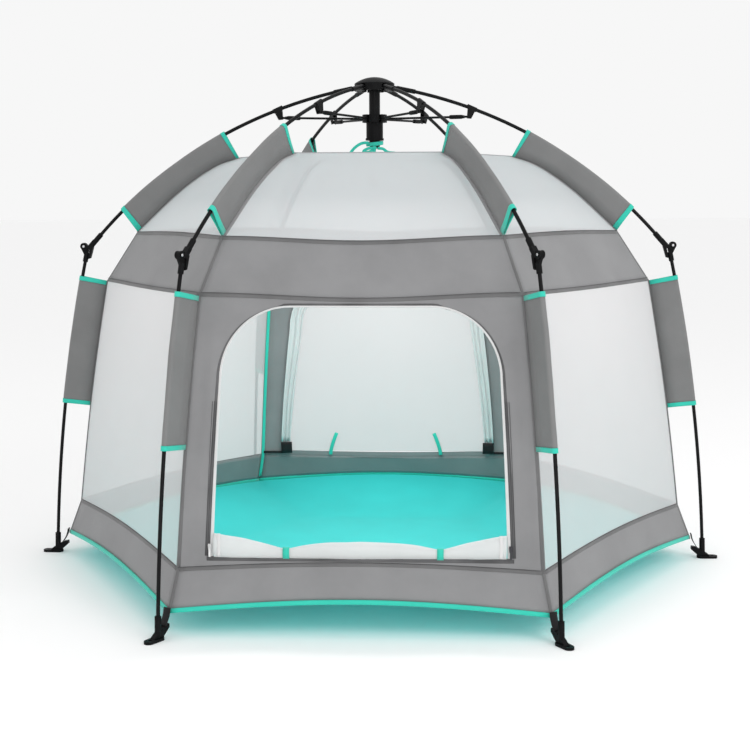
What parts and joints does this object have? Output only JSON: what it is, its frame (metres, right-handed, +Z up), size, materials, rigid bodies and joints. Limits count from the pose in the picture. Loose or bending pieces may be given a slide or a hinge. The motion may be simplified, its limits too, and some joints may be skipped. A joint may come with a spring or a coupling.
{
  "type": "travel play yard",
  "caption": "Pop-up play yard: a folding umbrella frame carries a netting enclosure with a sewn-in floor, zipped door and netting roof.",
  "frame": {"origin": "on the ground under the hub, at the middle of the yard", "axes": "+Z up, the wall with the front door faces -Y, +X through the right-hand corner"},
  "size_m": [1.778, 1.5428, 1.226],
  "materials": {
    "grey_fabric": "woven polyester, satin",
    "white_mesh": "see-through netting",
    "teal_fabric": "coated polyester",
    "teal_binding": "woven tape",
    "white_tape": "zip tape and folded netting",
    "black_webbing": "woven webbing",
    "black_pole": "coated glass-fibre rod",
    "black_plastic": "moulded plastic",
    "steel_pin": "plain steel",
    "zip_metal": "painted metal slider"
  },
  "bodies": {
    "enclosure": {"floor_mat": "teal_fabric", "skirt_panels": "grey_fabric", "hem_binding": "teal_binding", "front_door_wall": "grey_fabric", "rear_door_wall": "grey_fabric", "rear_door_mesh": "white_mesh", "side_mesh_walls": "white_mesh", "band_panels": "grey_fabric", "dome_mesh": "white_mesh", "pole_sleeves": "grey_fabric", "sleeve_bindings": "teal_binding", "front_door_roll": "white_tape", "door_tie_straps": "teal_binding", "foot_straps": "black_webbing", "canopy_tie": "teal_binding", "door_zips": "white_tape"},
    "hub": {"hub_shell": "black_plastic", "hub_cap": "black_plastic", "hub_rib_pins": "steel_pin", "centre_post": "black_pole"},
    "runner": {"runner_collar": "black_plastic", "runner_strut_pins": "steel_pin"},
    "rib_right": {"rib_right": "black_pole", "knee_hood_right": "black_plastic"},
    "leg_right": {"leg_pole_right": "black_pole", "knee_fork_right": "black_plastic", "foot_right": "black_plastic"},
    "strut_right": {"strut_right": "black_pole"},
    "rib_back_right": {"rib_back_right": "black_pole", "knee_hood_back_right": "black_plastic"},
    "leg_back_right": {"leg_pole_back_right": "black_pole", "knee_fork_back_right": "black_plastic", "foot_back_right": "black_plastic"},
    "strut_back_right": {"strut_back_right": "black_pole"},
    "rib_back_left": {"rib_back_left": "black_pole", "knee_hood_back_left": "black_plastic"},
    "leg_back_left": {"leg_pole_back_left": "black_pole", "knee_fork_back_left": "black_plastic", "foot_back_left": "black_plastic"},
    "strut_back_left": {"strut_back_left": "black_pole"},
    "rib_left": {"rib_left": "black_pole", "knee_hood_left": "black_plastic"},
    "leg_left": {"leg_pole_left": "black_pole", "knee_fork_left": "black_plastic", "foot_left": "black_plastic"},
    "strut_left": {"strut_left": "black_pole"},
    "rib_front_left": {"rib_front_left": "black_pole", "knee_hood_front_left": "black_plastic"},
    "leg_front_left": {"leg_pole_front_left": "black_pole", "knee_fork_front_left": "black_plastic", "foot_front_left": "black_plastic"},
    "strut_front_left": {"strut_front_left": "black_pole"},
    "rib_front_right": {"rib_front_right": "black_pole", "knee_hood_front_right": "black_plastic"},
    "leg_front_right": {"leg_pole_front_right": "black_pole", "knee_fork_front_right": "black_plastic", "foot_front_right": "black_plastic"},
    "strut_front_right": {"strut_front_right": "black_pole"},
    "zip_slider_left": {"zip_slider_left": "zip_metal"},
    "zip_slider_right": {"zip_slider_right": "zip_metal"}
  },
  "joints": [
    {"name": "hub_lower", "type": "slide", "parent": "enclosure", "child": "hub", "axis": [0, 0, -1], "range_m": [0, 0.29], "deforming": ["floor_mat", "skirt_panels", "hem_binding", "front_door_wall", "rear_door_wall", "rear_door_mesh", "side_mesh_walls", "band_panels", "dome_mesh", "pole_sleeves", "sleeve_bindings", "front_door_roll", "door_tie_straps", "foot_straps", "canopy_tie", "door_zips"]},
    {"name": "runner_slide", "type": "slide", "parent": "hub", "child": "runner", "axis": [0, 0, 1], "range_m": [0, 0.0788]},
    {"name": "rib_fold_right", "type": "hinge", "parent": "hub", "child": "rib_right", "pos_m": [0.042, 0, 1.202], "axis": [0, 1, 0], "range_deg": [0, 60]},
    {"name": "knee_fold_right", "type": "hinge", "parent": "rib_right", "child": "leg_right", "pos_m": [0.75, 0, 0.808], "axis": [0, -1, 0], "range_deg": [0, 215]},
    {"name": "strut_fold_right", "type": "hinge", "parent": "runner", "child": "strut_right", "pos_m": [0.024, 0, 1.124], "axis": [0, 1, 0], "range_deg": [0, 77.1]},
    {"name": "rib_fold_back_right", "type": "hinge", "parent": "hub", "child": "rib_back_right", "pos_m": [0.021, 0.03637, 1.202], "axis": [-0.866, 0.5, 0], "range_deg": [0, 60]},
    {"name": "knee_fold_back_right", "type": "hinge", "parent": "rib_back_right", "child": "leg_back_right", "pos_m": [0.375, 0.64952, 0.808], "axis": [0.866, -0.5, 0], "range_deg": [0, 215]},
    {"name": "strut_fold_back_right", "type": "hinge", "parent": "runner", "child": "strut_back_right", "pos_m": [0.012, 0.02079, 1.124], "axis": [-0.866, 0.5, 0], "range_deg": [0, 77.1]},
    {"name": "rib_fold_back_left", "type": "hinge", "parent": "hub", "child": "rib_back_left", "pos_m": [-0.021, 0.03637, 1.202], "axis": [-0.866, -0.5, 0], "range_deg": [0, 60]},
    {"name": "knee_fold_back_left", "type": "hinge", "parent": "rib_back_left", "child": "leg_back_left", "pos_m": [-0.375, 0.64952, 0.808], "axis": [0.866, 0.5, 0], "range_deg": [0, 215]},
    {"name": "strut_fold_back_left", "type": "hinge", "parent": "runner", "child": "strut_back_left", "pos_m": [-0.012, 0.02079, 1.124], "axis": [-0.866, -0.5, 0], "range_deg": [0, 77.1]},
    {"name": "rib_fold_left", "type": "hinge", "parent": "hub", "child": "rib_left", "pos_m": [-0.042, 0, 1.202], "axis": [0, -1, 0], "range_deg": [0, 60]},
    {"name": "knee_fold_left", "type": "hinge", "parent": "rib_left", "child": "leg_left", "pos_m": [-0.75, 0, 0.808], "axis": [0, 1, 0], "range_deg": [0, 215]},
    {"name": "strut_fold_left", "type": "hinge", "parent": "runner", "child": "strut_left", "pos_m": [-0.024, 0, 1.124], "axis": [0, -1, 0], "range_deg": [0, 77.1]},
    {"name": "rib_fold_front_left", "type": "hinge", "parent": "hub", "child": "rib_front_left", "pos_m": [-0.021, -0.03637, 1.202], "axis": [0.866, -0.5, 0], "range_deg": [0, 60]},
    {"name": "knee_fold_front_left", "type": "hinge", "parent": "rib_front_left", "child": "leg_front_left", "pos_m": [-0.375, -0.64952, 0.808], "axis": [-0.866, 0.5, 0], "range_deg": [0, 215]},
    {"name": "strut_fold_front_left", "type": "hinge", "parent": "runner", "child": "strut_front_left", "pos_m": [-0.012, -0.02079, 1.124], "axis": [0.866, -0.5, 0], "range_deg": [0, 77.1]},
    {"name": "rib_fold_front_right", "type": "hinge", "parent": "hub", "child": "rib_front_right", "pos_m": [0.021, -0.03637, 1.202], "axis": [0.866, 0.5, 0], "range_deg": [0, 60]},
    {"name": "knee_fold_front_right", "type": "hinge", "parent": "rib_front_right", "child": "leg_front_right", "pos_m": [0.375, -0.64952, 0.808], "axis": [-0.866, -0.5, 0], "range_deg": [0, 215]},
    {"name": "strut_fold_front_right", "type": "hinge", "parent": "runner", "child": "strut_front_right", "pos_m": [0.012, -0.02079, 1.124], "axis": [0.866, 0.5, 0], "range_deg": [0, 77.1]},
    {"name": "door_zip_left", "type": "slide", "parent": "enclosure", "child": "zip_slider_left", "axis": [0.039, 0.1321, 0.9905], "range_m": [0, 0.36]},
    {"name": "door_zip_right", "type": "slide", "parent": "enclosure", "child": "zip_slider_right", "axis": [-0.039, 0.1321, 0.9905], "range_m": [0, 0.36]}
  ],
  "couplings": [
    {"joint": "runner_slide", "follows": "hub_lower", "ratio": 0.27172},
    {"joint": "rib_fold_right", "follows": "hub_lower", "rad_per_m": 3.611},
    {"joint": "knee_fold_right", "follows": "hub_lower", "rad_per_m": 12.94},
    {"joint": "strut_fold_right", "follows": "hub_lower", "rad_per_m": 4.6402},
    {"joint": "rib_fold_back_right", "follows": "hub_lower", "rad_per_m": 3.611},
    {"joint": "knee_fold_back_right", "follows": "hub_lower", "rad_per_m": 12.94},
    {"joint": "strut_fold_back_right", "follows": "hub_lower", "rad_per_m": 4.6402},
    {"joint": "rib_fold_back_left", "follows": "hub_lower", "rad_per_m": 3.611},
    {"joint": "knee_fold_back_left", "follows": "hub_lower", "rad_per_m": 12.94},
    {"joint": "strut_fold_back_left", "follows": "hub_lower", "rad_per_m": 4.6402},
    {"joint": "rib_fold_left", "follows": "hub_lower", "rad_per_m": 3.611},
    {"joint": "knee_fold_left", "follows": "hub_lower", "rad_per_m": 12.94},
    {"joint": "strut_fold_left", "follows": "hub_lower", "rad_per_m": 4.6402},
    {"joint": "rib_fold_front_left", "follows": "hub_lower", "rad_per_m": 3.611},
    {"joint": "knee_fold_front_left", "follows": "hub_lower", "rad_per_m": 12.94},
    {"joint": "strut_fold_front_left", "follows": "hub_lower", "rad_per_m": 4.6402},
    {"joint": "rib_fold_front_right", "follows": "hub_lower", "rad_per_m": 3.611},
    {"joint": "knee_fold_front_right", "follows": "hub_lower", "rad_per_m": 12.94},
    {"joint": "strut_fold_front_right", "follows": "hub_lower", "rad_per_m": 4.6402}
  ]
}
